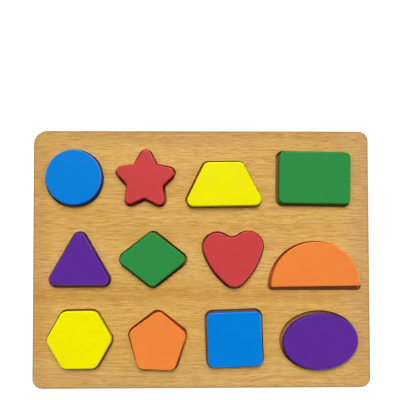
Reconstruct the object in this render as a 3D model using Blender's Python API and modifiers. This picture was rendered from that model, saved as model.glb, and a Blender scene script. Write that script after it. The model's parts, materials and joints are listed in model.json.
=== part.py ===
# Shape board: a flat wooden puzzle with twelve loose painted shapes.
#
# The board is made of two layers glued face to face. The lower one, base_board, is
# plain. The upper one, front_panel, has twelve cut-outs, which become shallow
# recesses once the layers are joined. In each recess lies one thick painted piece
# that stands proud of the board, so that a child can grip it and lift it out.
#
# Metres, +Z up, +X along the board's long side. The board lies on its base at z = 0
# with its centre over the origin. Sizes are given in millimetres times MM.

import math
from collections import namedtuple

import bmesh
import bpy
from mathutils import Vector

MM = 0.001

# The two layers of the board
BASE_THICKNESS = 2.8 * MM
PANEL_THICKNESS = 2.9 * MM
GLUE_LINE = 0.3 * MM
BOARD_CORNER_RADIUS = 8.5 * MM
FAR_LEFT_CORNER_RADIUS = 12.0 * MM

# The loose pieces and how they sit in their recesses
PIECE_THICKNESS = 7.0 * MM
PIECE_SEAT_GAP = 0.3 * MM
PIECE_EDGE_ROUND = 0.8 * MM
EDGE_ROUND_STEPS = 2

# Circle
CIRCLE_RADIUS = 24.7 * MM

# Star, with five points
STAR_POINTS = 5
STAR_POINT_RADIUS = 31.9 * MM
STAR_VALLEY_RADIUS = 16.5 * MM
STAR_TIP_ROUND = 4.7 * MM
STAR_VALLEY_ROUND = 2.6 * MM

# Trapezoid
TRAPEZOID_TOP = 33.1 * MM
TRAPEZOID_FOOT = 72.8 * MM
TRAPEZOID_HEIGHT = 39.2 * MM
TRAPEZOID_CORNER = 5.7 * MM

# Rectangle
RECTANGLE_LENGTH = 63.6 * MM
RECTANGLE_HEIGHT = 46.4 * MM
RECTANGLE_CORNER = 4.6 * MM

# Triangle
TRIANGLE_FOOT = 60.1 * MM
TRIANGLE_HEIGHT = 52.0 * MM
TRIANGLE_CORNER = 5.4 * MM

# Rhombus
RHOMBUS_LENGTH = 63.8 * MM
RHOMBUS_HEIGHT = 50.5 * MM
RHOMBUS_CORNER = 5.4 * MM

# Heart: two lobes, a soft valley between them, bowed sides and a round tip
HEART_LOBE_RADIUS = 12.8 * MM
HEART_LOBE_OFFSET = 13.7 * MM
HEART_VALLEY_ROUND = 9.5 * MM
HEART_TIP_RADIUS = 10.6 * MM
HEART_TIP_DROP = 25.3 * MM
HEART_SIDE_RADIUS = 61.0 * MM

# Semicircle
SEMICIRCLE_RADIUS = 39.8 * MM
SEMICIRCLE_CORNER = 1.6 * MM

# Hexagon, flat at head and foot
HEXAGON_SIDES = 6
HEXAGON_ACROSS_CORNERS = 58.2 * MM
HEXAGON_CORNER = 7.0 * MM

# Pentagon, point up
PENTAGON_SIDES = 5
PENTAGON_LENGTH = 51.4 * MM
PENTAGON_HEIGHT = 52.2 * MM
PENTAGON_CORNER = 6.4 * MM

# Square
SQUARE_SIDE = 48.1 * MM
SQUARE_CORNER = 5.4 * MM

# Oval
OVAL_LENGTH = 66.4 * MM
OVAL_HEIGHT = 49.5 * MM

# Round stretches are drawn as facets that turn by no more than this angle
FACET_ANGLE = math.radians(9.0)
WELD_DISTANCE = 0.01 * MM
RIM_ANGLE = math.radians(50.0)

# Bare wood above, between, below and beside the rows of recesses
HEAD_MARGIN = 16.7 * MM
UPPER_ROW_GAP = 20.3 * MM
LOWER_ROW_GAP = 16.2 * MM
FOOT_MARGIN = 15.4 * MM
END_MARGIN = 7.9 * MM


def turned(points, angle):
    """The points turned about the origin."""
    cos_a = math.cos(angle)
    sin_a = math.sin(angle)
    return [(x * cos_a - y * sin_a, x * sin_a + y * cos_a) for x, y in points]


def bounds(points):
    """Lowest and highest x, then lowest and highest y."""
    xs = [x for x, y in points]
    ys = [y for x, y in points]
    return min(xs), max(xs), min(ys), max(ys)


def arc(centre, radius, start, end):
    """Points along an arc, from the angle start to the angle end."""
    steps = max(1, math.ceil(abs(end - start) / FACET_ANGLE - 0.001))
    angles = [start + (end - start) * i / steps for i in range(steps + 1)]
    return [(centre[0] + radius * math.cos(a), centre[1] + radius * math.sin(a)) for a in angles]


def rounded(corners, rounds, grow):
    """A closed outline, counter-clockwise, with an arc at each corner.

    The outline is moved outwards by grow: an outer corner's arc gets larger
    by it and an inner corner's arc gets smaller.
    """
    points = []
    count = len(corners)
    for i in range(count):
        corner = Vector(corners[i])
        before = (corner - Vector(corners[i - 1])).normalized()
        after = (Vector(corners[(i + 1) % count]) - corner).normalized()
        side = 1.0 if before.cross(after) > 0 else -1.0
        turn = before.angle(after)
        inward = Vector((-before.y, before.x)) * side
        centre = corner - before * rounds[i] * math.tan(turn / 2) + inward * rounds[i]
        start = math.atan2(-inward.y, -inward.x)
        points += arc(centre, rounds[i] + side * grow, start, start + side * turn)
    return points


def ring_of_corners(count, x_radius, y_radius, first):
    """Corners at equal angles on a ring that may be wider than it is high."""
    angles = [first + math.tau * i / count for i in range(count)]
    return [(x_radius * math.cos(a), y_radius * math.sin(a)) for a in angles]


def circle(grow):
    return arc((0, 0), CIRCLE_RADIUS + grow, 0, math.tau)[:-1]


def star(grow):
    tips = ring_of_corners(STAR_POINTS, STAR_POINT_RADIUS, STAR_POINT_RADIUS, math.pi / 2)
    first_valley = math.pi / 2 + math.pi / STAR_POINTS
    valleys = ring_of_corners(STAR_POINTS, STAR_VALLEY_RADIUS, STAR_VALLEY_RADIUS, first_valley)
    corners = []
    for tip, valley in zip(tips, valleys):
        corners += [tip, valley]
    return rounded(corners, [STAR_TIP_ROUND, STAR_VALLEY_ROUND] * STAR_POINTS, grow)


def trapezoid(grow):
    half = TRAPEZOID_HEIGHT / 2
    corners = [(-TRAPEZOID_FOOT / 2, -half), (TRAPEZOID_FOOT / 2, -half),
               (TRAPEZOID_TOP / 2, half), (-TRAPEZOID_TOP / 2, half)]
    return rounded(corners, [TRAPEZOID_CORNER] * 4, grow)


def box_outline(length, width, rounds, grow):
    """A rectangle; the rounds run counter-clockwise from its lower left corner."""
    x = length / 2
    y = width / 2
    return rounded([(-x, -y), (x, -y), (x, y), (-x, y)], rounds, grow)


def rectangle(grow):
    return box_outline(RECTANGLE_LENGTH, RECTANGLE_HEIGHT, [RECTANGLE_CORNER] * 4, grow)


def triangle(grow):
    foot = -TRIANGLE_HEIGHT / 3
    corners = [(-TRIANGLE_FOOT / 2, foot), (TRIANGLE_FOOT / 2, foot), (0, foot + TRIANGLE_HEIGHT)]
    return rounded(corners, [TRIANGLE_CORNER] * 3, grow)


def rhombus(grow):
    corners = ring_of_corners(4, RHOMBUS_LENGTH / 2, RHOMBUS_HEIGHT / 2, 0)
    return rounded(corners, [RHOMBUS_CORNER] * 4, grow)


def heart(grow):
    """Right half from the tip up to the valley, then its mirror image."""
    lobe = Vector((HEART_LOBE_OFFSET, 0))
    tip = Vector((0, -HEART_TIP_DROP))
    # the bowed side is an arc that both the lobe and the tip touch from within
    to_lobe = HEART_SIDE_RADIUS - HEART_LOBE_RADIUS
    to_tip = HEART_SIDE_RADIUS - HEART_TIP_RADIUS
    span = (tip - lobe).length
    along = (to_lobe ** 2 - to_tip ** 2 + span ** 2) / (2 * span)
    across = math.sqrt(to_lobe ** 2 - along ** 2)
    down = (tip - lobe) / span
    bow = lobe + down * along + Vector((down.y, -down.x)) * across
    tip_end = math.atan2(tip.y - bow.y, tip.x - bow.x)
    lobe_start = math.atan2(lobe.y - bow.y, lobe.x - bow.x)
    # the valley is an arc between the lobes that touches both from outside
    reach = HEART_LOBE_RADIUS + HEART_VALLEY_ROUND
    valley = Vector((0, math.sqrt(reach ** 2 - HEART_LOBE_OFFSET ** 2)))
    lobe_end = math.atan2(valley.y - lobe.y, valley.x - lobe.x)
    half = arc(tip, HEART_TIP_RADIUS + grow, -math.pi / 2, tip_end)
    half += arc(bow, HEART_SIDE_RADIUS + grow, tip_end, lobe_start)[1:]
    half += arc(lobe, HEART_LOBE_RADIUS + grow, lobe_start, lobe_end)[1:]
    half += arc(valley, HEART_VALLEY_ROUND - grow, lobe_end - math.pi, -math.pi / 2)[1:]
    return half + [(-x, y) for x, y in reversed(half[1:-1])]


def semicircle(grow):
    """A half disc that stands on its straight side, with eased lower corners."""
    corner_y = SEMICIRCLE_CORNER
    corner_x = math.sqrt((SEMICIRCLE_RADIUS - SEMICIRCLE_CORNER) ** 2 - corner_y ** 2)
    join = math.atan2(corner_y, corner_x)
    half = arc((corner_x, corner_y), SEMICIRCLE_CORNER + grow, -math.pi / 2, join)
    half += arc((0, 0), SEMICIRCLE_RADIUS + grow, join, math.pi / 2)[1:]
    half = [(x, y - SEMICIRCLE_RADIUS / 2) for x, y in half]
    return half + [(-x, y) for x, y in reversed(half[:-1])]


def hexagon(grow):
    radius = HEXAGON_ACROSS_CORNERS / 2
    corners = ring_of_corners(HEXAGON_SIDES, radius, radius, 0)
    return rounded(corners, [HEXAGON_CORNER] * HEXAGON_SIDES, grow)


def pentagon(grow):
    x_radius = PENTAGON_LENGTH / (2 * math.sin(math.tau / PENTAGON_SIDES))
    y_radius = PENTAGON_HEIGHT / (1 + math.cos(math.pi / PENTAGON_SIDES))
    corners = ring_of_corners(PENTAGON_SIDES, x_radius, y_radius, math.pi / 2)
    return rounded(corners, [PENTAGON_CORNER] * PENTAGON_SIDES, grow)


def square(grow):
    return box_outline(SQUARE_SIDE, SQUARE_SIDE, [SQUARE_CORNER] * 4, grow)


def oval(grow):
    """An ellipse, moved outwards along its own normals."""
    a = OVAL_LENGTH / 2
    b = OVAL_HEIGHT / 2
    points = []
    for x, y in arc((0, 0), 1, 0, math.tau)[:-1]:
        outward = Vector((b * x, a * y)).normalized()
        points.append((a * x + outward.x * grow, b * y + outward.y * grow))
    return points


# Paint and wood colours
BLUE = "#1080DC"
RED = "#CC4A4A"
YELLOW = "#EEEA02"
GREEN = "#388E4C"
PURPLE = "#5E2E96"
ORANGE = "#EE8A3E"
BEECH = "#CFA362"
PALE_BEECH = "#C99C72"

# A shape is cut into the panel and its piece lies in the recess.
#   before        bare wood between it and the recess, or the board's end, to its left
#   raised        height of the recess's middle above its row's line
#   turn          degrees that the recess is turned by, counter-clockwise
#   play          room on each side of the piece when it lies in the recess's middle
#   slid_right,   how far the piece has slid in its recess, in parts of the play
#   slid_up
#   twist         the piece's own turn, in parts of the one at which its farthest
#                 point has moved by the play
Shape = namedtuple("Shape", "name outline paint before raised turn play slid_right slid_up twist")

ROWS = (
    (
        Shape("circle_piece", circle, BLUE, 10.5 * MM, 0.0 * MM, 0.0, 1.4 * MM, 0.09, 0.16, 0.0),
        Shape("star_piece", star, RED, 10.4 * MM, 0.4 * MM, -0.5, 1.5 * MM, -0.09, 0.07, -0.46),
        Shape("trapezoid_piece", trapezoid, YELLOW, 8.4 * MM, -5.1 * MM, 0.7, 1.4 * MM, 0.38, -0.43, 0.12),
        Shape("rectangle_piece", rectangle, GREEN, 12.3 * MM, -0.3 * MM, -0.9, 1.6 * MM, 0.68, 0.17, 0.0),
    ),
    (
        Shape("triangle_piece", triangle, PURPLE, 14.1 * MM, 1.0 * MM, 0.1, 1.6 * MM, 0.2, 0.2, -0.1),
        Shape("rhombus_piece", rhombus, GREEN, 6.9 * MM, 0.9 * MM, -0.3, 1.7 * MM, -0.28, 0.0, 0.17),
        Shape("heart_piece", heart, RED, 12.8 * MM, 0.7 * MM, 1.7, 1.4 * MM, -0.08, 0.08, 0.58),
        Shape("semicircle_piece", semicircle, ORANGE, 3.1 * MM, -4.7 * MM, -0.2, 2.0 * MM, 0.09, 0.54, 0.31),
    ),
    (
        Shape("hexagon_piece", hexagon, YELLOW, 12.7 * MM, 0.7 * MM, 0.6, 1.4 * MM, 0.05, -0.12, 0.0),
        Shape("pentagon_piece", pentagon, ORANGE, 13.1 * MM, -0.2 * MM, -0.3, 1.4 * MM, 0.0, -0.36, -0.75),
        Shape("square_piece", square, BLUE, 15.5 * MM, 1.2 * MM, 1.9, 1.6 * MM, 0.11, -0.46, 0.0),
        Shape("oval_piece", oval, PURPLE, 13.9 * MM, -1.0 * MM, 1.2, 1.8 * MM, 0.7, -0.48, 1.0),
    ),
)


def recess_outline(shape):
    """The recess around the shape's own centre: the piece's outline and the play."""
    return turned(shape.outline(shape.play), math.radians(shape.turn))


def lay_out(rows):
    """Set the rows of recesses out from the board's head and left end.

    Gives each shape's centre, with the board's centre as the origin, and then
    the length and width that the board needs around them.
    """
    places = []
    length = 0.0
    depth = 0.0
    for row, gap_above in zip(rows, (HEAD_MARGIN, UPPER_ROW_GAP, LOWER_ROW_GAP)):
        boxes = [bounds(recess_outline(shape)) for shape in row]
        halves = [(top - foot) / 2 for left, right, foot, top in boxes]
        line = depth + gap_above + max(half + shape.raised for half, shape in zip(halves, row))
        run = 0.0
        for shape, (left, right, foot, top) in zip(row, boxes):
            run += shape.before
            places.append((shape, run - left, line - shape.raised + (foot + top) / 2))
            run += right - left
        length = max(length, run + END_MARGIN)
        depth = line + max(half - shape.raised for half, shape in zip(halves, row))
    width = depth + FOOT_MARGIN
    places = [(shape, x - length / 2, width / 2 - y) for shape, x, y in places]
    return places, length, width


def material(name, colour, roughness):
    """A Principled material from an sRGB hex colour."""
    channels = [int(colour[i:i + 2], 16) / 255 for i in (1, 3, 5)]
    linear = [c / 12.92 if c <= 0.04045 else ((c + 0.055) / 1.055) ** 2.4 for c in channels]
    made = bpy.data.materials.new(name)
    made.use_nodes = True
    shader = made.node_tree.nodes["Principled BSDF"]
    shader.inputs["Base Color"].default_value = (*linear, 1.0)
    shader.inputs["Roughness"].default_value = roughness
    shader.inputs["Metallic"].default_value = 0.0
    made.diffuse_color = (*linear, 1.0)
    return made


def slab(name, outlines, thickness):
    """A flat solid that stands on its own z = 0; outlines inside the first are holes."""
    curve = bpy.data.curves.new(name, "CURVE")
    curve.dimensions = "2D"
    curve.fill_mode = "BOTH"
    curve.extrude = thickness / 2
    for outline in outlines:
        spline = curve.splines.new("POLY")
        spline.points.add(len(outline) - 1)
        spline.use_cyclic_u = True
        for point, (x, y) in zip(spline.points, outline):
            point.co = (x, y, 0.0, 1.0)
    drawn = bpy.data.objects.new(name, curve)
    bpy.context.scene.collection.objects.link(drawn)
    bpy.context.view_layer.update()
    evaluated = drawn.evaluated_get(bpy.context.evaluated_depsgraph_get())
    mesh = bpy.data.meshes.new_from_object(evaluated)
    bpy.data.objects.remove(drawn)
    welded = bmesh.new()
    welded.from_mesh(mesh)
    bmesh.ops.remove_doubles(welded, verts=welded.verts, dist=WELD_DISTANCE)
    bmesh.ops.translate(welded, verts=welded.verts, vec=(0.0, 0.0, thickness / 2))
    welded.to_mesh(mesh)
    welded.free()
    mesh.shade_smooth()
    mesh.set_sharp_from_angle(angle=RIM_ANGLE)
    mesh.name = name
    return bpy.data.objects.new(name, mesh)


def round_the_rims(piece):
    """Ease the piece's upper and lower rims, and leave its facets alone."""
    bevel = piece.modifiers.new("rounded_rims", "BEVEL")
    bevel.width = PIECE_EDGE_ROUND
    bevel.segments = EDGE_ROUND_STEPS
    bevel.limit_method = "ANGLE"
    bevel.angle_limit = RIM_ANGLE


def build():
    for old in list(bpy.data.objects):
        bpy.data.objects.remove(old)
    collection = bpy.data.collections.new("shape_board")
    bpy.context.scene.collection.children.link(collection)
    board = bpy.data.objects.new("board", None)
    collection.objects.link(board)

    places, length, width = lay_out(ROWS)
    corner_rounds = [BOARD_CORNER_RADIUS] * 3 + [FAR_LEFT_CORNER_RADIUS]
    edge = box_outline(length, width, corner_rounds, 0.0)
    panel_foot = BASE_THICKNESS + GLUE_LINE
    piece_foot = BASE_THICKNESS + PIECE_SEAT_GAP

    base = slab("base_board", [edge], BASE_THICKNESS)
    base.data.materials.append(material("base_board", PALE_BEECH, 0.6))

    cut_outs = []
    for shape, x, y in places:
        cut_outs.append([(x + px, y + py) for px, py in recess_outline(shape)])
    panel = slab("front_panel", [edge] + cut_outs, PANEL_THICKNESS)
    panel.location.z = panel_foot
    panel.data.materials.append(material("front_panel", BEECH, 0.45))

    pieces = []
    for shape, x, y in places:
        outline = shape.outline(0.0)
        farthest = max(math.hypot(px, py) for px, py in outline)
        piece = slab(shape.name, [outline], PIECE_THICKNESS)
        round_the_rims(piece)
        slid = (shape.slid_right * shape.play, shape.slid_up * shape.play)
        piece.location = (x + slid[0], y + slid[1], piece_foot)
        piece.rotation_euler.z = math.radians(shape.turn) + shape.twist * shape.play / farthest
        piece.data.materials.append(material(shape.name, shape.paint, 0.35))
        pieces.append(piece)

    for part in [base, panel] + pieces:
        collection.objects.link(part)
        part.parent = board


build()
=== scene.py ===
# %% [markdown]
# # A shape board, dressed for the camera
#
# A shape board is a flat wooden puzzle for toddlers. Two thin sheets of plywood are glued face
# to face. The upper one has twelve cut-outs, so that twelve shallow recesses are left, and in
# each lies a thick painted shape that stands proud enough to be gripped. This lesson loads the
# exact solids of that toy as a fixed frame. It then builds a smoother skin for every one of them,
# gives each skin the finish of the real thing, and lights the whole like a catalogue picture.

import json
import math

import bmesh
import bpy
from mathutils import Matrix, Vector


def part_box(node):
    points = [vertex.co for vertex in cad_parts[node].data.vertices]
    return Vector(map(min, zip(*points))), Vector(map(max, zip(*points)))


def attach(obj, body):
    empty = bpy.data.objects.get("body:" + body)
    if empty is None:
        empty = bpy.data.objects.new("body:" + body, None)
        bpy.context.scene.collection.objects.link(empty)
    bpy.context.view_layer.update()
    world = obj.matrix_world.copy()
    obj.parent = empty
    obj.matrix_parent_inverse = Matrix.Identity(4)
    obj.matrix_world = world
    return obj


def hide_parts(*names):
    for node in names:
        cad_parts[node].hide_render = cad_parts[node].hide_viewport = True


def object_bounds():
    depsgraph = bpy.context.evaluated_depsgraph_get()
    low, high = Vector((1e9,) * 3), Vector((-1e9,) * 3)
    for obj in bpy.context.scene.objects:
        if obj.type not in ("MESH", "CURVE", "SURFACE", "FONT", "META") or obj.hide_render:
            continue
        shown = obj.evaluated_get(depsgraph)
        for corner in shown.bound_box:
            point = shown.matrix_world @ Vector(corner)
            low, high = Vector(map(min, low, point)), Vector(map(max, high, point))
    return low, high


MM = 0.001

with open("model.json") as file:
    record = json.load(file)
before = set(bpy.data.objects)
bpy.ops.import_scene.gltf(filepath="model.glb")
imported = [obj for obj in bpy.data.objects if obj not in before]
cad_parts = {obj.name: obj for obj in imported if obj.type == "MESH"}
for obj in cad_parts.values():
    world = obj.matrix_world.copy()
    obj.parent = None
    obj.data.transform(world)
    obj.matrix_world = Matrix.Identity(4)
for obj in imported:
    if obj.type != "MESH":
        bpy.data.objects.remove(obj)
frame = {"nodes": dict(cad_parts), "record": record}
nodes = frame["nodes"]
cad_low, cad_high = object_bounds()
print("solids:", len(nodes), "box in mm:", [round(side / MM, 1) for side in cad_high - cad_low])

# %% [markdown]
# ## The camera
#
# The picture was taken from nearly straight above and from quite near, so the sides of the
# shapes show a little wherever they face the middle of the board. A longer lens from further
# away would hide them. The place, the turn and the lens below were worked out from the four
# corners of the board and from how far the tops of the shapes lean outwards. The board lies low
# in the square picture, and the lens is shifted for that, as on a view camera, because tilting
# the camera instead would make the board's long sides run together.

# %% Place the camera
CAMERA_PLACE = Vector((-4.25, -14.19, 319.7)) * MM
CAMERA_TILT = 1.063
CAMERA_LEAN = -0.601
CAMERA_ROLL = -0.128
LENS_LENGTH = 31.67
SENSOR_WIDTH = 36.0
LENS_RISE = 0.1702
LENS_SLIDE = -0.0021

lens = bpy.data.cameras.new("camera")
lens.lens = LENS_LENGTH
lens.sensor_width = SENSOR_WIDTH
lens.shift_y = LENS_RISE
lens.shift_x = LENS_SLIDE
camera = bpy.data.objects.new("camera", lens)
bpy.context.scene.collection.objects.link(camera)
camera.location = CAMERA_PLACE
camera.rotation_euler = [math.radians(angle) for angle in (CAMERA_TILT, CAMERA_LEAN, CAMERA_ROLL)]
bpy.context.scene.camera = camera
bpy.context.scene.view_settings.view_transform = "Standard"
print("camera height in mm:", round(CAMERA_PLACE.z / MM, 1))

# %% [markdown]
# ## From a faceted solid to a smooth outline
#
# Each solid of the frame is a flat slab whose curves are drawn as short straight facets. Its
# outline is all that is needed: a cut through the slab at half its height gives it. The facets
# are then rounded off in the way in which a joiner turns a square into an octagon and that into a
# circle, by planing every corner down a little. A vertex bevel by a quarter of the corner's
# shorter edge does this, and after two rounds no corner is left that the eye can find. Corners
# that are cut alike are planed in one call, and straight sides stay straight.

# %% Cut the outline out of a solid
WELD = 0.001 * MM
FLAT_ANGLE = math.radians(0.5)
PLANING_ROUNDS = 2
PLANED_SHARE = 0.25
PLANING_STEP = 0.0001 * MM


def planed(mesh):
    """Cut every corner of the flat faces by a quarter of its shorter edge."""
    corners = {}
    for vert in mesh.verts:
        cut = PLANED_SHARE * min(edge.calc_length() for edge in vert.link_edges)
        corners.setdefault(round(cut / PLANING_STEP), []).append(vert)
    for steps, verts in corners.items():
        bmesh.ops.bevel(mesh, geom=verts, offset=steps * PLANING_STEP, offset_type="OFFSET",
                        segments=1, profile=0.5, affect="VERTICES", material=-1)


def outline_of(name):
    """One flat face for each closed outline of the solid, at the height of its foot."""
    low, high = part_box(name)
    mesh = bmesh.new()
    mesh.from_mesh(nodes[name].data)
    bmesh.ops.remove_doubles(mesh, verts=mesh.verts, dist=WELD)
    bmesh.ops.dissolve_limit(mesh, angle_limit=FLAT_ANGLE, verts=mesh.verts, edges=mesh.edges)
    everything = mesh.verts[:] + mesh.edges[:] + mesh.faces[:]
    middle = (low + high) / 2
    bmesh.ops.bisect_plane(mesh, geom=everything, dist=WELD, plane_co=middle, plane_no=(0, 0, 1),
                           clear_inner=True, clear_outer=True)
    bmesh.ops.edgeloop_fill(mesh, edges=mesh.edges[:])
    for _ in range(PLANING_ROUNDS):
        planed(mesh)
    bmesh.ops.translate(mesh, verts=mesh.verts, vec=(0, 0, low.z - middle.z))
    return mesh


sample = outline_of("star_piece")
print("star outline, points:", len(sample.verts))
sample.free()

# %% [markdown]
# ## From an outline to a slab with eased rims
#
# A slab is its outline pulled straight up, with its rims eased. The rims get a real bevel rather
# than a painted one, because the thin bright line along the rim of a painted shape is the lamp
# mirrored in that curve. A band of faces is set along every outline first: inwards from the
# outer one, and outwards from the holes, which is an inset by a negative width. It gives each
# point of the rim one edge that runs straight away from it, along which the bevel can slide
# cleanly, and it keeps the soft shading of the rim from spreading over the whole flat face.
# Where there are holes, a triangle fill closes the field between the bands. The fill takes points
# that are a few hundredths of a unit apart for one, so the sheet is enlarged while it is filled.
# A finished piece rides on the body of the solid that it replaces, so it is lifted out with it.

# %% Set a band along every outline
BAND = 0.25 * MM


def banded_outline(name, width, hole_width=0.0):
    """The solid's outline as a flat sheet with a band along its border and round its holes."""
    mesh = outline_of(name)
    faces = sorted(mesh.faces, key=lambda face: face.calc_area())
    outer = faces.pop()
    bmesh.ops.inset_region(mesh, faces=[outer], thickness=width, use_even_offset=True,
                           use_boundary=True)
    if faces:
        bmesh.ops.inset_region(mesh, faces=faces, thickness=-hole_width, use_even_offset=True,
                               use_boundary=True)
        field = [edge for face in [outer] + faces for edge in face.edges]
        bmesh.ops.delete(mesh, geom=[outer] + faces, context="FACES_ONLY")
        bmesh.ops.scale(mesh, verts=mesh.verts, vec=(1 / MM, 1 / MM, 1 / MM))
        bmesh.ops.triangle_fill(mesh, edges=field, use_beauty=True, normal=(0, 0, 1))
        bmesh.ops.scale(mesh, verts=mesh.verts, vec=(MM, MM, MM))
    return mesh


sample = banded_outline("star_piece", BAND)
print("star outline with its band, faces:", len(sample.faces))

# %% Pull it up and ease its rims
LEVEL = 0.999
UPRIGHT = 0.02


def pulled_up(mesh, height):
    """Extrude the flat faces upwards into a closed slab."""
    pulled = bmesh.ops.extrude_face_region(mesh, geom=mesh.faces[:])
    top = [part for part in pulled["geom"] if isinstance(part, bmesh.types.BMVert)]
    bmesh.ops.translate(mesh, verts=top, vec=(0, 0, height))
    bmesh.ops.recalc_face_normals(mesh, faces=mesh.faces)


def is_rim(edge):
    """True where a level face meets an upright one."""
    slopes = [abs(face.normal.z) for face in edge.link_faces]
    return max(slopes) > LEVEL and min(slopes) < UPRIGHT


def eased(mesh, edges, radius, steps):
    """Round the given rims."""
    bmesh.ops.bevel(mesh, geom=edges, offset=radius, offset_type="OFFSET", segments=steps,
                    profile=0.5, affect="EDGES", material=-1)


pulled_up(sample, BAND)
print("rim edges of the star:", sum(is_rim(edge) for edge in sample.edges))
sample.free()

# %% Turn it into a finished piece
SMOOTH_ANGLE = math.radians(35.0)

record = frame["record"]
slot_of_node = {part["node"]: part["material_slot"] for part in record["subparts"]}
body_of_node = {}
for body_name, members in record["behaviour"]["bodies"].items():
    for member in members:
        body_of_node[member] = body_name


def piece_from(mesh, name, node_name):
    """Turn the bmesh into a finished piece that stands for its solid and rides on its body."""
    data = bpy.data.meshes.new(name)
    mesh.to_mesh(data)
    mesh.free()
    data.shade_smooth()
    data.set_sharp_from_angle(angle=SMOOTH_ANGLE)
    piece = bpy.data.objects.new(name, data)
    bpy.context.scene.collection.objects.link(piece)
    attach(piece, body_of_node[node_name])
    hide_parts(node_name)
    print(name, "faces:", len(data.polygons))
    return piece


print("bodies:", len(set(body_of_node.values())), "finishes:", len(set(slot_of_node.values())))

# %% [markdown]
# ## The twelve loose shapes
#
# The real shapes are sawn from thick board, their rims are rounded over, and they are painted
# all over. They could be modelled one by one, but they all go through the same steps in the
# workshop, so one loop makes them: outline, slab, rounded rims.

# %% Make the shapes
SHAPE_RIM_RADIUS = 1.0 * MM
SHAPE_RIM_STEPS = 6

shapes = {}
for node_name in sorted(nodes):
    if not node_name.endswith("_piece"):
        continue
    low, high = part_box(node_name)
    slab = banded_outline(node_name, SHAPE_RIM_RADIUS + BAND)
    pulled_up(slab, high.z - low.z)
    eased(slab, [edge for edge in slab.edges if is_rim(edge)], SHAPE_RIM_RADIUS, SHAPE_RIM_STEPS)
    shapes[node_name] = piece_from(slab, "painted_" + node_name, node_name)

# %% [markdown]
# ## The two sheets of the board
#
# The upper sheet is one outer outline with twelve holes in it. A boolean could cut the holes, but
# the cut through the solid already gives all thirteen outlines. The laser leaves the rims of the
# holes crisp, so they get only a breath of easing, while the outer rims of both sheets are
# sanded rounder for small hands. The faces are sorted into three finishes by where they lie:
# the lacquered face, the layered outer edge, and the dark walls of the recesses.

# %% Make the upper sheet
HOLE_RIM_RADIUS = 0.2 * MM
HOLE_RIM_STEPS = 2
OUTER_RIM_RADIUS = 0.7 * MM
OUTER_RIM_STEPS = 4
EDGE_STRIP = 5.0 * MM
FACE_FINISH, EDGE_FINISH, WALL_FINISH = 0, 1, 2


def near_board_edge(point):
    """True within the strip along the board's outer edge, its round corners included."""
    return min(cad_high.x - abs(point.x), cad_high.y - abs(point.y)) < EDGE_STRIP


def upright_edges(mesh, finish):
    """The rims beside upright faces of that finish."""
    return [edge for edge in mesh.edges if is_rim(edge)
            and any(face.material_index == finish for face in edge.link_faces)]


low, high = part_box("front_panel")
sheet = banded_outline("front_panel", OUTER_RIM_RADIUS + BAND, HOLE_RIM_RADIUS + BAND)
pulled_up(sheet, high.z - low.z)
for face in sheet.faces:
    if abs(face.normal.z) < UPRIGHT:
        outside = near_board_edge(face.calc_center_median())
        face.material_index = EDGE_FINISH if outside else WALL_FINISH
middle = (low.z + high.z) / 2
for finish, radius, steps in ((EDGE_FINISH, OUTER_RIM_RADIUS, OUTER_RIM_STEPS),
                              (WALL_FINISH, HOLE_RIM_RADIUS, HOLE_RIM_STEPS)):
    rims = [edge for edge in upright_edges(sheet, finish) if edge.verts[0].co.z > middle]
    eased(sheet, rims, radius, steps)
for face in sheet.faces:
    if face.normal.z > UPRIGHT:
        face.material_index = FACE_FINISH
upper_sheet = piece_from(sheet, "beech_face_sheet", "front_panel")

# %% Make the lower sheet
low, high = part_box("base_board")
sheet = banded_outline("base_board", OUTER_RIM_RADIUS + BAND)
pulled_up(sheet, high.z - low.z)
for face in sheet.faces:
    face.material_index = FACE_FINISH if abs(face.normal.z) > LEVEL else EDGE_FINISH
middle = (low.z + high.z) / 2
rims = [edge for edge in upright_edges(sheet, EDGE_FINISH) if edge.verts[0].co.z < middle]
eased(sheet, rims, OUTER_RIM_RADIUS, OUTER_RIM_STEPS)
lower_sheet = piece_from(sheet, "plywood_base_sheet", "base_board")

# %% [markdown]
# ## Small tools for the finishes
#
# Paint charts and photographs give colours as sRGB hex values, while the renderer counts light
# linearly, so one function turns the one into the other, with the numbers of the sRGB standard.
# A second function adds a node, with its settings and with what feeds its inputs. Three steps
# that come back in every finish are built on it: a noise stretched to the size of a fibre or a
# blotch, a tone laid over the colour where such a noise is high or low, and the surface itself,
# with its relief and with a roughness that wavers a little.

# %% Colour and node helpers
def linear(hex_colour):
    """An sRGB hex colour as linear red, green, blue and an alpha of one."""
    channels = [int(hex_colour[i:i + 2], 16) / 255 for i in (1, 3, 5)]
    return [c / 12.92 if c <= 0.04045 else ((c + 0.055) / 1.055) ** 2.4 for c in channels] + [1.0]


def add(tree, kind, inputs=None, **settings):
    """Add a node. Inputs are values, or sockets of earlier nodes that get linked."""
    node = tree.nodes.new(kind)
    for name, value in settings.items():
        setattr(node, name, value)
    for name, value in (inputs or {}).items():
        if isinstance(value, bpy.types.NodeSocket):
            tree.links.new(value, node.inputs[name])
        else:
            node.inputs[name].default_value = value
    return node


print("a middle grey in linear light:", [round(channel, 3) for channel in linear("#808080")])

# %% Steps that every finish takes
# The mix node has number, vector and colour sockets of one name, so those for colours are numbered.
MIX_FACTOR, MIX_FIRST, MIX_SECOND, MIX_RESULT = 0, 6, 7, 2
NOISE_LOW, NOISE_HIGH = 0.3, 0.7


def new_finish(name):
    """A material with an empty recipe, its tree, its shader and the object's own axes."""
    finish = bpy.data.materials.new(name)
    finish.use_nodes = True
    tree = finish.node_tree
    tree.nodes.clear()
    place = add(tree, "ShaderNodeTexCoord").outputs["Object"]
    shader = add(tree, "ShaderNodeBsdfPrincipled")
    add(tree, "ShaderNodeOutputMaterial", {"Surface": shader.outputs["BSDF"]})
    return finish, tree, shader, place


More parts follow.
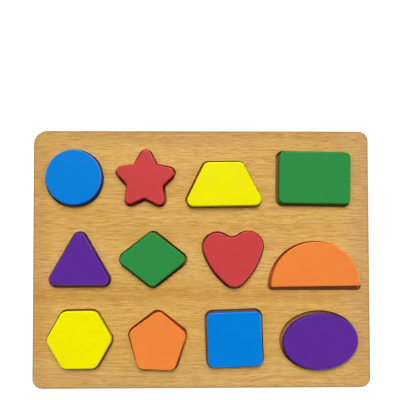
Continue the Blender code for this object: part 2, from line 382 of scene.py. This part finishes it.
def stretched(tree, place, size, detail=2.0, distortion=0.0):
    """Noise whose blotches are as long, wide and high as size says, in metres."""
    per_metre = [1 / length for length in size]
    mapped = add(tree, "ShaderNodeMapping", {"Vector": place, "Scale": per_metre}).outputs["Vector"]
    return add(tree, "ShaderNodeTexNoise", {"Vector": mapped, "Scale": 1.0, "Detail": detail,
                                            "Distortion": distortion}).outputs["Fac"]


def toned(tree, colour, tone, mask, low=NOISE_LOW, high=NOISE_HIGH, at_low=0.0, at_high=1.0):
    """Lay a tone over the colour, as strongly as at_low and at_high say for the mask's two ends."""
    share = add(tree, "ShaderNodeMapRange", {"Value": mask, "From Min": low, "From Max": high,
                                             "To Min": at_low, "To Max": at_high},
                interpolation_type="SMOOTHSTEP").outputs["Result"]
    mix = add(tree, "ShaderNodeMix", {MIX_FACTOR: share, MIX_FIRST: colour, MIX_SECOND: tone},
              data_type="RGBA")
    return mix.outputs[MIX_RESULT]


def surfaced(tree, shader, colour, relief, depth, strength, texture, roughness):
    """Feed the shader its colour, its relief and a roughness that follows the texture."""
    bump = add(tree, "ShaderNodeBump", {"Strength": strength, "Distance": depth, "Height": relief})
    wavering = add(tree, "ShaderNodeMapRange", {"Value": texture, "From Min": NOISE_LOW,
                                                "From Max": NOISE_HIGH, "To Min": roughness[0],
                                                "To Max": roughness[1]},
                   interpolation_type="SMOOTHSTEP")
    tree.links.new(colour, shader.inputs["Base Color"])
    tree.links.new(wavering.outputs["Result"], shader.inputs["Roughness"])
    tree.links.new(bump.outputs["Normal"], shader.inputs["Normal"])


print("most of a noise lies between", NOISE_LOW, "and", NOISE_HIGH)

# %% [markdown]
# ## Beech veneer: how the grain runs
#
# The face of the board is beech veneer, sliced along the grain and sealed with a thin satin
# lacquer. Beech has soft bands that run along the board, fine streaks about a millimetre thick,
# and the short dark dashes of its rays. Each of these is a noise that is long along X and thin
# along Y. Before they are drawn, the place itself is pushed up and down three times, by a slow
# drift, a wave and a small ripple, because no real grain runs dead straight. The dashes of real
# beech are half as thick, and they are drawn coarser here so that they show at all at this size.

# %% Run of the grain
PUSHES = {
    "drift": ((70 * MM, 30 * MM, 30 * MM), 8 * MM),
    "wave": ((45 * MM, 18 * MM, 18 * MM), 4 * MM),
    "ripple": ((14 * MM, 6 * MM, 6 * MM), 0.6 * MM),
}
BAND_SIZE = (150 * MM, 9 * MM, 9 * MM)
PATCH_SIZE = (60 * MM, 22 * MM, 22 * MM)
LINE_SIZE = (130 * MM, 1.2 * MM, 1.2 * MM)
STREAK_SIZE = (12 * MM, 0.75 * MM, 0.75 * MM)
RAY_SIZE = (7 * MM, 0.7 * MM, 0.7 * MM)

beech, tree, shader, place = new_finish("beech_veneer_satin_lacquered")
offset = 0.0
for size, push in PUSHES.values():
    shift = stretched(tree, place, size, detail=1.0)
    offset = add(tree, "ShaderNodeMath", {0: shift, 1: push, 2: offset},
                 operation="MULTIPLY_ADD").outputs[0]
pushed = add(tree, "ShaderNodeCombineXYZ", {"Y": offset}).outputs["Vector"]
grain_place = add(tree, "ShaderNodeVectorMath", {0: place, 1: pushed}, operation="ADD").outputs[0]
bands = stretched(tree, grain_place, BAND_SIZE)
patches = stretched(tree, grain_place, PATCH_SIZE, detail=1.0)
lines = stretched(tree, grain_place, LINE_SIZE)
streaks = stretched(tree, grain_place, STREAK_SIZE)
rays = stretched(tree, grain_place, RAY_SIZE, detail=1.0)
print("the grain is pushed by", sorted(PUSHES))

# %% [markdown]
# ## Beech veneer: tones from side to side
#
# No sheet of veneer has one tone. Soft bands and patches come first. A stripe through the middle
# of this sheet is paler and one nearer to the child is browner, and each is found by how far a
# point of the grain lies from the stripe's middle. The two ends and the far side are a little
# rosy, and the near side and the right end are paler. Such a margin is found by how far
# a point lies inside the sides of the board.

# %% Bands, patches and stripes
BEECH = "#D6AD59"
BEECH_LIGHT = "#E6C071"
BEECH_DARK = "#B08235"
BEECH_ORANGE = "#D8A662"
BEECH_EVENNESS = 0.70
# Each stripe has a tone, a middle and a half width across the board, and a strength.
STRIPES = {
    "pale": ("#E8C584", -4 * MM, 20 * MM, 0.35),
    "brown": ("#B98536", -32 * MM, 11 * MM, 0.55),
}
# The pushes move the grain by about this much on average, and the stripes with it.
GRAIN_SHIFT = 6 * MM

colour = toned(tree, linear(BEECH_DARK), linear(BEECH_LIGHT), bands)
evened = add(tree, "ShaderNodeMix", {MIX_FACTOR: BEECH_EVENNESS, MIX_FIRST: colour,
                                     MIX_SECOND: linear(BEECH)}, data_type="RGBA")
colour = toned(tree, evened.outputs[MIX_RESULT], linear(BEECH_ORANGE), patches,
               low=0.35, high=0.65, at_high=0.5)
across = add(tree, "ShaderNodeSeparateXYZ", {"Vector": grain_place}).outputs["Y"]
for tone, middle, half, strength in STRIPES.values():
    away = add(tree, "ShaderNodeMath", {0: across, 1: middle + GRAIN_SHIFT}, operation="SUBTRACT")
    away = add(tree, "ShaderNodeMath", {0: away.outputs[0]}, operation="ABSOLUTE").outputs[0]
    colour = toned(tree, colour, linear(tone), away, low=0.0, high=half, at_low=strength,
                   at_high=0.0)
print("stripes of the veneer:", sorted(STRIPES))

# %% Margins
BEECH_ROSY = "#B4864E"
BEECH_PALER_MARGIN = "#CDAC80"

spot = add(tree, "ShaderNodeSeparateXYZ", {"Vector": place}).outputs
past_side = {}
for side, first, second in (("left", cad_low.x, spot["X"]), ("right", spot["X"], cad_high.x),
                            ("near", cad_low.y, spot["Y"]), ("far", spot["Y"], cad_high.y)):
    past_side[side] = add(tree, "ShaderNodeMath", {0: first, 1: second},
                          operation="SUBTRACT").outputs[0]


def margined(tree, colour, tone, sides, reach, full, strength):
    """Lay a tone along these sides, from nothing at its reach to its strength where it is full."""
    past = past_side[sides[0]]
    for side in sides[1:]:
        past = add(tree, "ShaderNodeMath", {0: past, 1: past_side[side]},
                   operation="MAXIMUM").outputs[0]
    return toned(tree, colour, linear(tone), past, low=-reach, high=-full, at_high=strength)


colour = margined(tree, colour, BEECH_ROSY, sides=("left", "right", "far"), reach=22 * MM,
                  full=4.4 * MM, strength=0.45)
# The near side and the right end are made paler.
colour = margined(tree, colour, BEECH_PALER_MARGIN, sides=("near", "right"), reach=34 * MM,
                  full=17 * MM, strength=0.32)
print("sides of the board:", sorted(past_side))

# %% [markdown]
# ## Beech veneer: lines, dashes and lacquer
#
# Over those tones the lines and the streaks are drawn, dark where their noise is low and light
# where it is high, and then the dark dashes of the rays. The rims are made greyer and darker,
# which is painted shade of their rounding. They are found by the sides of the board and by the
# tilt of the surface, which finds the rims of the recesses too. The streaks also lift the lacquer
# a little, and they make it a little duller or glossier.

# %% Lines and lacquer
BEECH_RAY = "#9A6C34"
BEECH_RIM_SHADE = "#8C7048"
TROUGH, HALFWAY, CREST = 0.32, 0.52, 0.72
LACQUER_IOR = 1.5
LACQUER_SPECULAR = 0.2

for noise, darkness, lightness in ((lines, 0.42, 0.42), (streaks, 0.55, 0.50)):
    colour = toned(tree, colour, linear(BEECH_DARK), noise, low=TROUGH, high=HALFWAY,
                   at_low=darkness, at_high=0.0)
    colour = toned(tree, colour, linear(BEECH_LIGHT), noise, low=HALFWAY, high=CREST,
                   at_high=lightness)
colour = toned(tree, colour, linear(BEECH_RAY), rays, low=0.60, high=CREST, at_high=0.45)
# Painted shade: a greyer, darker tone along the board's outer edge and on every tilted rim, the
# recess rims too.
colour = margined(tree, colour, BEECH_RIM_SHADE, sides=("left", "right", "near", "far"),
                  reach=2 * MM, full=1 * MM, strength=0.4)
tilt = add(tree, "ShaderNodeNewGeometry").outputs["Normal"]
upward = add(tree, "ShaderNodeSeparateXYZ", {"Vector": tilt}).outputs["Z"]
colour = toned(tree, colour, linear(BEECH_RIM_SHADE), upward, low=0.80, high=0.995, at_low=0.75,
               at_high=0.0)
lift = add(tree, "ShaderNodeMapRange", {"Value": streaks, "From Min": NOISE_LOW,
                                        "From Max": NOISE_HIGH},
           interpolation_type="SMOOTHSTEP").outputs["Result"]
surfaced(tree, shader, colour, relief=lift, depth=0.05 * MM, strength=0.35, texture=streaks,
         roughness=(0.50, 0.40))
shader.inputs["IOR"].default_value = LACQUER_IOR
shader.inputs["Specular IOR Level"].default_value = LACQUER_SPECULAR
print(beech.name, "nodes:", len(tree.nodes))

# %% [markdown]
# ## The layered edge of the plywood
#
# Seen from the side, each sheet is three thin plies. The outer two run along the board and show
# pale long grain, and the middle one runs across and shows darker end grain. The layers are told
# apart by their height alone, so the pattern fits round the corners of the board too. Sanding
# leaves short fibres and a few dark pores, and the line between two plies wanders a little.

# %% Plywood edges
PLY_LONG = "#E2C595"
PLY_END = "#B48A58"
PLY_LONG_GREY = "#CDB391"
PLY_END_GREY = "#9C7A55"
PLY_PORE = "#4C260B"
MIDDLE_PLY_HALF = 0.15
GLUE_LINE_BLUR = 0.05
PLY_WANDER = 0.12 * MM
PLY_WANDER_SIZE = (14 * MM, 14 * MM, 8 * MM)
END_FIBRE_SIZE = (1.2 * MM, 1.2 * MM, 0.25 * MM)
END_PORE_SIZE = (0.5 * MM, 0.5 * MM, 0.5 * MM)
SANDED_SPECULAR = 0.3


def ply_edge(name, node_name, long_colour, end_colour):
    """Three plies between the sheet's foot and its top, in two tones."""
    low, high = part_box(node_name)
    thickness = high.z - low.z
    finish, tree, shader, place = new_finish(name)
    wander = stretched(tree, place, PLY_WANDER_SIZE, detail=1.0)
    wander = add(tree, "ShaderNodeMapRange", {"Value": wander, "From Min": 0.2, "From Max": 0.8,
                                              "To Min": -PLY_WANDER, "To Max": PLY_WANDER},
                 interpolation_type="SMOOTHSTEP").outputs["Result"]
    height = add(tree, "ShaderNodeSeparateXYZ", {"Vector": place}).outputs["Z"]
    height = add(tree, "ShaderNodeMath", {0: height, 1: wander}, operation="ADD").outputs[0]
    away = add(tree, "ShaderNodeMath", {0: height, 1: low.z + thickness / 2}, operation="SUBTRACT")
    away = add(tree, "ShaderNodeMath", {0: away.outputs[0]}, operation="ABSOLUTE").outputs[0]
    fibres = stretched(tree, place, END_FIBRE_SIZE, detail=3.0)
    pores = stretched(tree, place, END_PORE_SIZE)
    colour = toned(tree, linear(end_colour), linear(long_colour), away,
                   low=thickness * MIDDLE_PLY_HALF,
                   high=thickness * (MIDDLE_PLY_HALF + GLUE_LINE_BLUR))
    colour = toned(tree, colour, linear(end_colour), fibres, at_low=0.35, at_high=0.0)
    colour = toned(tree, colour, linear(PLY_PORE), pores, low=0.58, high=0.72, at_high=0.3)
    surfaced(tree, shader, colour, relief=fibres, depth=0.05 * MM, strength=0.4, texture=fibres,
             roughness=(0.75, 0.6))
    shader.inputs["Specular IOR Level"].default_value = SANDED_SPECULAR
    return finish


upper_edge = ply_edge("plywood_edge_sanded_pale", "front_panel", PLY_LONG, PLY_END)
lower_edge = ply_edge("plywood_edge_sanded_grey", "base_board", PLY_LONG_GREY, PLY_END_GREY)
print(upper_edge.name, "and", lower_edge.name)

# %% [markdown]
# ## The walls of the recesses
#
# A laser burns its way through the sheet and leaves the cut toasted brown, darker in patches,
# with fine upright lines where the beam pulsed. Its brown is partly that scorch and partly
# painted shade of the narrow gaps, and it helps to draw the thin outline round every shape in the
# picture, so it is a finish of its own and not only a shadow.

# %% Scorched walls
SCORCH = "#8E501F"
SCORCH_AND_SHADE_DARK = "#4C260B"
PULSE_SIZE = (0.35 * MM, 0.35 * MM, 6 * MM)
SOOT_SIZE = (5 * MM, 5 * MM, 1.5 * MM)
SCORCHED_SPECULAR = 0.2

wall, tree, shader, place = new_finish("plywood_cut_scorched_and_shaded")
pulses = stretched(tree, place, PULSE_SIZE)
soot = stretched(tree, place, SOOT_SIZE)
# Partly painted shade: the dark wall colour also stands for the shade in the narrow gaps round the
# shapes.
colour = toned(tree, linear(SCORCH_AND_SHADE_DARK), linear(SCORCH), soot, low=0.35, high=0.65)
colour = toned(tree, colour, linear(SCORCH), pulses, low=0.4, high=0.7, at_high=0.4)
surfaced(tree, shader, colour, relief=pulses, depth=0.04 * MM, strength=0.5, texture=soot,
         roughness=(0.85, 0.7))
shader.inputs["Specular IOR Level"].default_value = SCORCHED_SPECULAR
print(wall.name, "nodes:", len(tree.nodes))

# %% [markdown]
# ## Bare plywood
#
# The lower sheet is never painted or lacquered. Its top is the floor of the recesses and its
# underside is the back of the toy. It is a warm orange tan, darker than the face, with broad
# soft grain, a few darker pores, and no gloss.

# %% Bare plywood
BARE = "#B87A3C"
BARE_DARK = "#8A5420"
BARE_PALE = "#CC9554"
BARE_EVENNESS = 0.6
BROAD_GRAIN_SIZE = (140 * MM, 16 * MM, 16 * MM)
FINE_GRAIN_SIZE = (20 * MM, 0.9 * MM, 0.9 * MM)
PORE_SIZE = (4 * MM, 0.5 * MM, 0.5 * MM)
BARE_SPECULAR = 0.3

bare, tree, shader, place = new_finish("plywood_bare_tan")
broad = stretched(tree, place, BROAD_GRAIN_SIZE, detail=3.0, distortion=0.6)
fine = stretched(tree, place, FINE_GRAIN_SIZE, detail=3.0)
pores = stretched(tree, place, PORE_SIZE, detail=1.0)
colour = toned(tree, linear(BARE_DARK), linear(BARE_PALE), broad)
evened = add(tree, "ShaderNodeMix", {MIX_FACTOR: BARE_EVENNESS, MIX_FIRST: colour,
                                     MIX_SECOND: linear(BARE)}, data_type="RGBA")
colour = toned(tree, evened.outputs[MIX_RESULT], linear(BARE_DARK), fine, low=0.35, high=0.65,
               at_low=0.35, at_high=0.0)
colour = toned(tree, colour, linear(SCORCH), pores, low=0.62, high=0.74, at_high=0.4)
surfaced(tree, shader, colour, relief=fine, depth=0.06 * MM, strength=0.4, texture=fine,
         roughness=(0.8, 0.65))
shader.inputs["Specular IOR Level"].default_value = BARE_SPECULAR
print(bare.name, "nodes:", len(tree.nodes))

# %% Put the finishes on the two sheets
for finish in (beech, upper_edge, wall):
    upper_sheet.data.materials.append(finish)
for finish in (bare, lower_edge):
    lower_sheet.data.materials.append(finish)
for sheet in (upper_sheet, lower_sheet):
    print(sheet.name, "finishes:", len(sheet.data.materials))

# %% [markdown]
# ## Satin paint
#
# The shapes are sprayed with a water-based satin paint. It is strong in colour and nearly even.
# What gives it away as paint is a very faint mottle, the fine ripple that painters call orange
# peel and a trace of the wood grain that telegraphs through. The sides are given a deeper,
# darker colour than the top, which is painted shade, and it reaches onto the rounded rims too.
# A pale painted highlight is laid on the rims in patches, on the side towards the child's right
# hand. Rim and side are both found by the tilt of the surface.

# %% Painted rim highlight
# Painted highlight: a pale colour laid in patches on the rounded rims.
RIM_HIGHLIGHT_PALE = "#F2EAE0"
RIM_HIGHLIGHT_SHARE = 0.12
HIGHLIGHT_SIDE = (0.7, -0.5, 0.0)
HIGHLIGHT_PATCH_SIZE = (45 * MM, 45 * MM, 45 * MM)


def with_painted_rim_highlight(tree, colour, place, tilt, upward):
    """Paint a pale highlight in patches on the rims that face the child's right hand."""
    highlight_patches = stretched(tree, place, HIGHLIGHT_PATCH_SIZE, detail=1.0)
    facing = add(tree, "ShaderNodeVectorMath", {0: tilt, 1: HIGHLIGHT_SIDE},
                 operation="DOT_PRODUCT").outputs["Value"]
    share = RIM_HIGHLIGHT_SHARE
    # The painted highlight lies in patches, on rims that face the child's right hand, on the round
    # of the rim.
    for mask, none_at, all_at in ((highlight_patches, 0.45, 0.62), (facing, -0.05, 0.3),
                                  (upward, 0.55, 0.80), (upward, 0.999, 0.97)):
        seen = add(tree, "ShaderNodeMapRange", {"Value": mask, "From Min": min(none_at, all_at),
                                                "From Max": max(none_at, all_at),
                                                "To Min": float(none_at > all_at),
                                                "To Max": float(none_at < all_at)},
                   interpolation_type="SMOOTHSTEP").outputs["Result"]
        share = add(tree, "ShaderNodeMath", {0: share, 1: seen}, operation="MULTIPLY").outputs[0]
    mix = add(tree, "ShaderNodeMix", {MIX_FACTOR: share, MIX_FIRST: colour,
                                      MIX_SECOND: linear(RIM_HIGHLIGHT_PALE)}, data_type="RGBA")
    return mix.outputs[MIX_RESULT]


# The strength of the painted rim highlight.
print("painted_highlight shows by up to", RIM_HIGHLIGHT_SHARE)

# %% Paint the shapes
PAINTS = {
    "blue_paint": "#0081E0",
    "red_paint": "#CB4446",
    "yellow_paint": "#F1EE00",
    "green_paint": "#2E9046",
    "purple_paint": "#5C2C9B",
    "orange_paint": "#EF893E",
}
MOTTLE_DARKNESS = 0.86
# Painted shade on the sides and rims: how deep it is and how strongly it is laid.
SIDE_SHADE_DEEPNESS = 1.6
SIDE_SHADE_STRENGTH = 0.9
MOTTLE_SIZE = (14 * MM, 14 * MM, 14 * MM)
GHOST_GRAIN_SIZE = (22 * MM, 1.1 * MM, 1.1 * MM)
PEEL_SIZE = (0.8 * MM, 0.8 * MM, 0.8 * MM)
GRAIN_TO_PEEL = 0.6
PAINT_IOR = 1.5
PAINT_SPECULAR = 0.14


def satin_paint(name, hex_colour):
    """A paint with a faint mottle, orange peel, painted shade on its sides and a painted rim
    highlight.
    """
    finish, tree, shader, place = new_finish(name)
    mottle = stretched(tree, place, MOTTLE_SIZE, detail=3.0)
    grain = stretched(tree, place, GHOST_GRAIN_SIZE)
    peel = stretched(tree, place, PEEL_SIZE)
    plain = linear(hex_colour)
    most = max(plain[:3])
    darker = [channel * MOTTLE_DARKNESS for channel in plain[:3]] + [1.0]
    # Painted shade: a deeper, darker copy of the colour for the sides and rims.
    shaded_deep = [most * (channel / most) ** SIDE_SHADE_DEEPNESS for channel in plain[:3]] + [1.0]
    colour = toned(tree, plain, darker, mottle, low=0.25, high=0.75, at_high=0.35)
    colour = toned(tree, colour, darker, grain, at_low=0.15, at_high=0.0)
    tilt = add(tree, "ShaderNodeNewGeometry").outputs["Normal"]
    upward = add(tree, "ShaderNodeSeparateXYZ", {"Vector": tilt}).outputs["Z"]
    # Painted shade: the sides and the rounded rims take that deeper colour by their tilt.
    colour = toned(tree, colour, shaded_deep, upward, low=0.3, high=0.995, at_low=SIDE_SHADE_STRENGTH, at_high=0.0)
    # Painted highlight on the rims.
    colour = with_painted_rim_highlight(tree, colour, place, tilt, upward)
    relief = add(tree, "ShaderNodeMath", {0: grain, 1: GRAIN_TO_PEEL, 2: peel},
                 operation="MULTIPLY_ADD").outputs[0]
    surfaced(tree, shader, colour, relief=relief, depth=0.02 * MM, strength=0.25, texture=mottle,
             roughness=(0.22, 0.28))
    shader.inputs["IOR"].default_value = PAINT_IOR
    shader.inputs["Specular IOR Level"].default_value = PAINT_SPECULAR
    return finish


paints = {slot: satin_paint(slot + "_satin_sprayed", colour) for slot, colour in PAINTS.items()}
for node_name, shape in shapes.items():
    shape.data.materials.append(paints[slot_of_node[node_name]])
print("paints:", sorted(paints))

# %% [markdown]
# ## The white table
#
# The toy lies on a table that is covered with plain paper. In a catalogue picture the ground is
# burnt out to pure white. More light would burn out the toy too, so the paper is a middling grey
# that also glows, but only for rays that come from the eye, straight, mirrored or through glass.
# That leaves the toy its colours, and a soft shadow of the board still shows. The paper is matt,
# and since nothing but white and that shadow is seen of it, it gets no texture of its own.

# %% White paper
TABLE_GREY = "#8A8A8A"
TABLE_GLOW = 0.92

table, tree, shader, place = new_finish("table_paper_white")
tree.nodes.remove(shader)
seen = add(tree, "ShaderNodeLightPath").outputs
eye = add(tree, "ShaderNodeMath", {0: seen["Is Camera Ray"], 1: seen["Is Glossy Ray"]},
          operation="ADD").outputs[0]
eye = add(tree, "ShaderNodeMath", {0: eye, 1: seen["Is Transmission Ray"]}, operation="ADD",
          use_clamp=True).outputs[0]
glow = add(tree, "ShaderNodeMath", {0: eye, 1: TABLE_GLOW}, operation="MULTIPLY").outputs[0]
paper = add(tree, "ShaderNodeBsdfDiffuse", {"Color": linear(TABLE_GREY)}).outputs[0]
light = add(tree, "ShaderNodeEmission", {"Strength": glow}).outputs[0]
both = add(tree, "ShaderNodeAddShader", {0: paper, 1: light}).outputs[0]
output = next(node for node in tree.nodes if node.type == "OUTPUT_MATERIAL")
tree.links.new(both, output.inputs["Surface"])
print(table.name, "nodes:", len(tree.nodes))

# %% Table
TABLE_SIDE = 8.0
TABLE_DROP = 0.05 * MM

ground = bmesh.new()
bmesh.ops.create_grid(ground, x_segments=1, y_segments=1, size=TABLE_SIDE / 2)
data = bpy.data.meshes.new("table")
ground.to_mesh(data)
ground.free()
floor = bpy.data.objects.new("table", data)
floor.location.z = cad_low.z - TABLE_DROP
floor.data.materials.append(table)
bpy.context.scene.collection.objects.link(floor)
print("table side in metres:", TABLE_SIDE)

# %% [markdown]
# ## The lamps and the room
#
# A large soft window beyond the board's far side is the main light and gives the short soft
# shadows on the near side of the shapes. A weaker softbox on either hand opens those shadows.
# Each is a sun lamp, which lights every spot alike however large the toy is, and whose width in
# degrees sets how soft its shadows are. The room around is dim and a little warm. The eye sees
# plain white instead, and so do mirrors low down, while a mirrored ceiling stays dim, because a
# white one would lie over the painted tops like a veil.

# %% Lamps
# Each lamp has the direction that it stands in, its width in degrees and its strength.
LAMPS = {
    "far_window": ((0.0, 1.0, 1.0), 42.0, 2.90),
    "left_softbox": ((-1.0, 0.1, 0.7), 40.0, 0.75),
    "right_softbox": ((1.0, 0.1, 0.7), 40.0, 0.75),
}

for name, (direction, width, strength) in LAMPS.items():
    glow = bpy.data.lights.new(name, "SUN")
    glow.angle = math.radians(width)
    glow.energy = strength
    lamp = bpy.data.objects.new(name, glow)
    lamp.location = direction
    lamp.rotation_euler = (-Vector(direction)).to_track_quat("-Z", "Y").to_euler()
    bpy.context.scene.collection.objects.link(lamp)
print("lamps:", sorted(LAMPS))

# %% Room
ROOM_LIGHT = 0.13
ROOM_TINT = "#FFD2A0"
WHITE = "#FFFFFF"
WALL_TOP, CEILING = 0.25, 0.5

room = bpy.data.worlds.new("room")
room.use_nodes = True
bpy.context.scene.world = room
tree = room.node_tree
tree.nodes.clear()
direction = add(tree, "ShaderNodeTexCoord").outputs["Generated"]
height = add(tree, "ShaderNodeSeparateXYZ", {"Vector": direction}).outputs["Z"]
low_down = add(tree, "ShaderNodeMapRange", {"Value": height, "From Min": WALL_TOP,
                                            "From Max": CEILING, "To Min": 1.0, "To Max": 0.0},
               interpolation_type="SMOOTHSTEP").outputs["Result"]
seen = add(tree, "ShaderNodeLightPath").outputs
mirrored = add(tree, "ShaderNodeMath", {0: seen["Is Glossy Ray"], 1: low_down},
               operation="MULTIPLY").outputs[0]
eye = add(tree, "ShaderNodeMath", {0: seen["Is Camera Ray"], 1: seen["Is Transmission Ray"]},
          operation="ADD").outputs[0]
white = add(tree, "ShaderNodeMath", {0: eye, 1: mirrored}, operation="ADD",
            use_clamp=True).outputs[0]
strength = add(tree, "ShaderNodeMapRange", {"Value": white, "To Min": ROOM_LIGHT, "To Max": 1.0},
               interpolation_type="SMOOTHSTEP").outputs["Result"]
tint = add(tree, "ShaderNodeMix", {MIX_FACTOR: white, MIX_FIRST: linear(ROOM_TINT),
                                   MIX_SECOND: linear(WHITE)}, data_type="RGBA")
sky = add(tree, "ShaderNodeBackground", {"Color": tint.outputs[MIX_RESULT],
                                         "Strength": strength}).outputs[0]
add(tree, "ShaderNodeOutputWorld", {"Surface": sky})
print("room light:", ROOM_LIGHT)
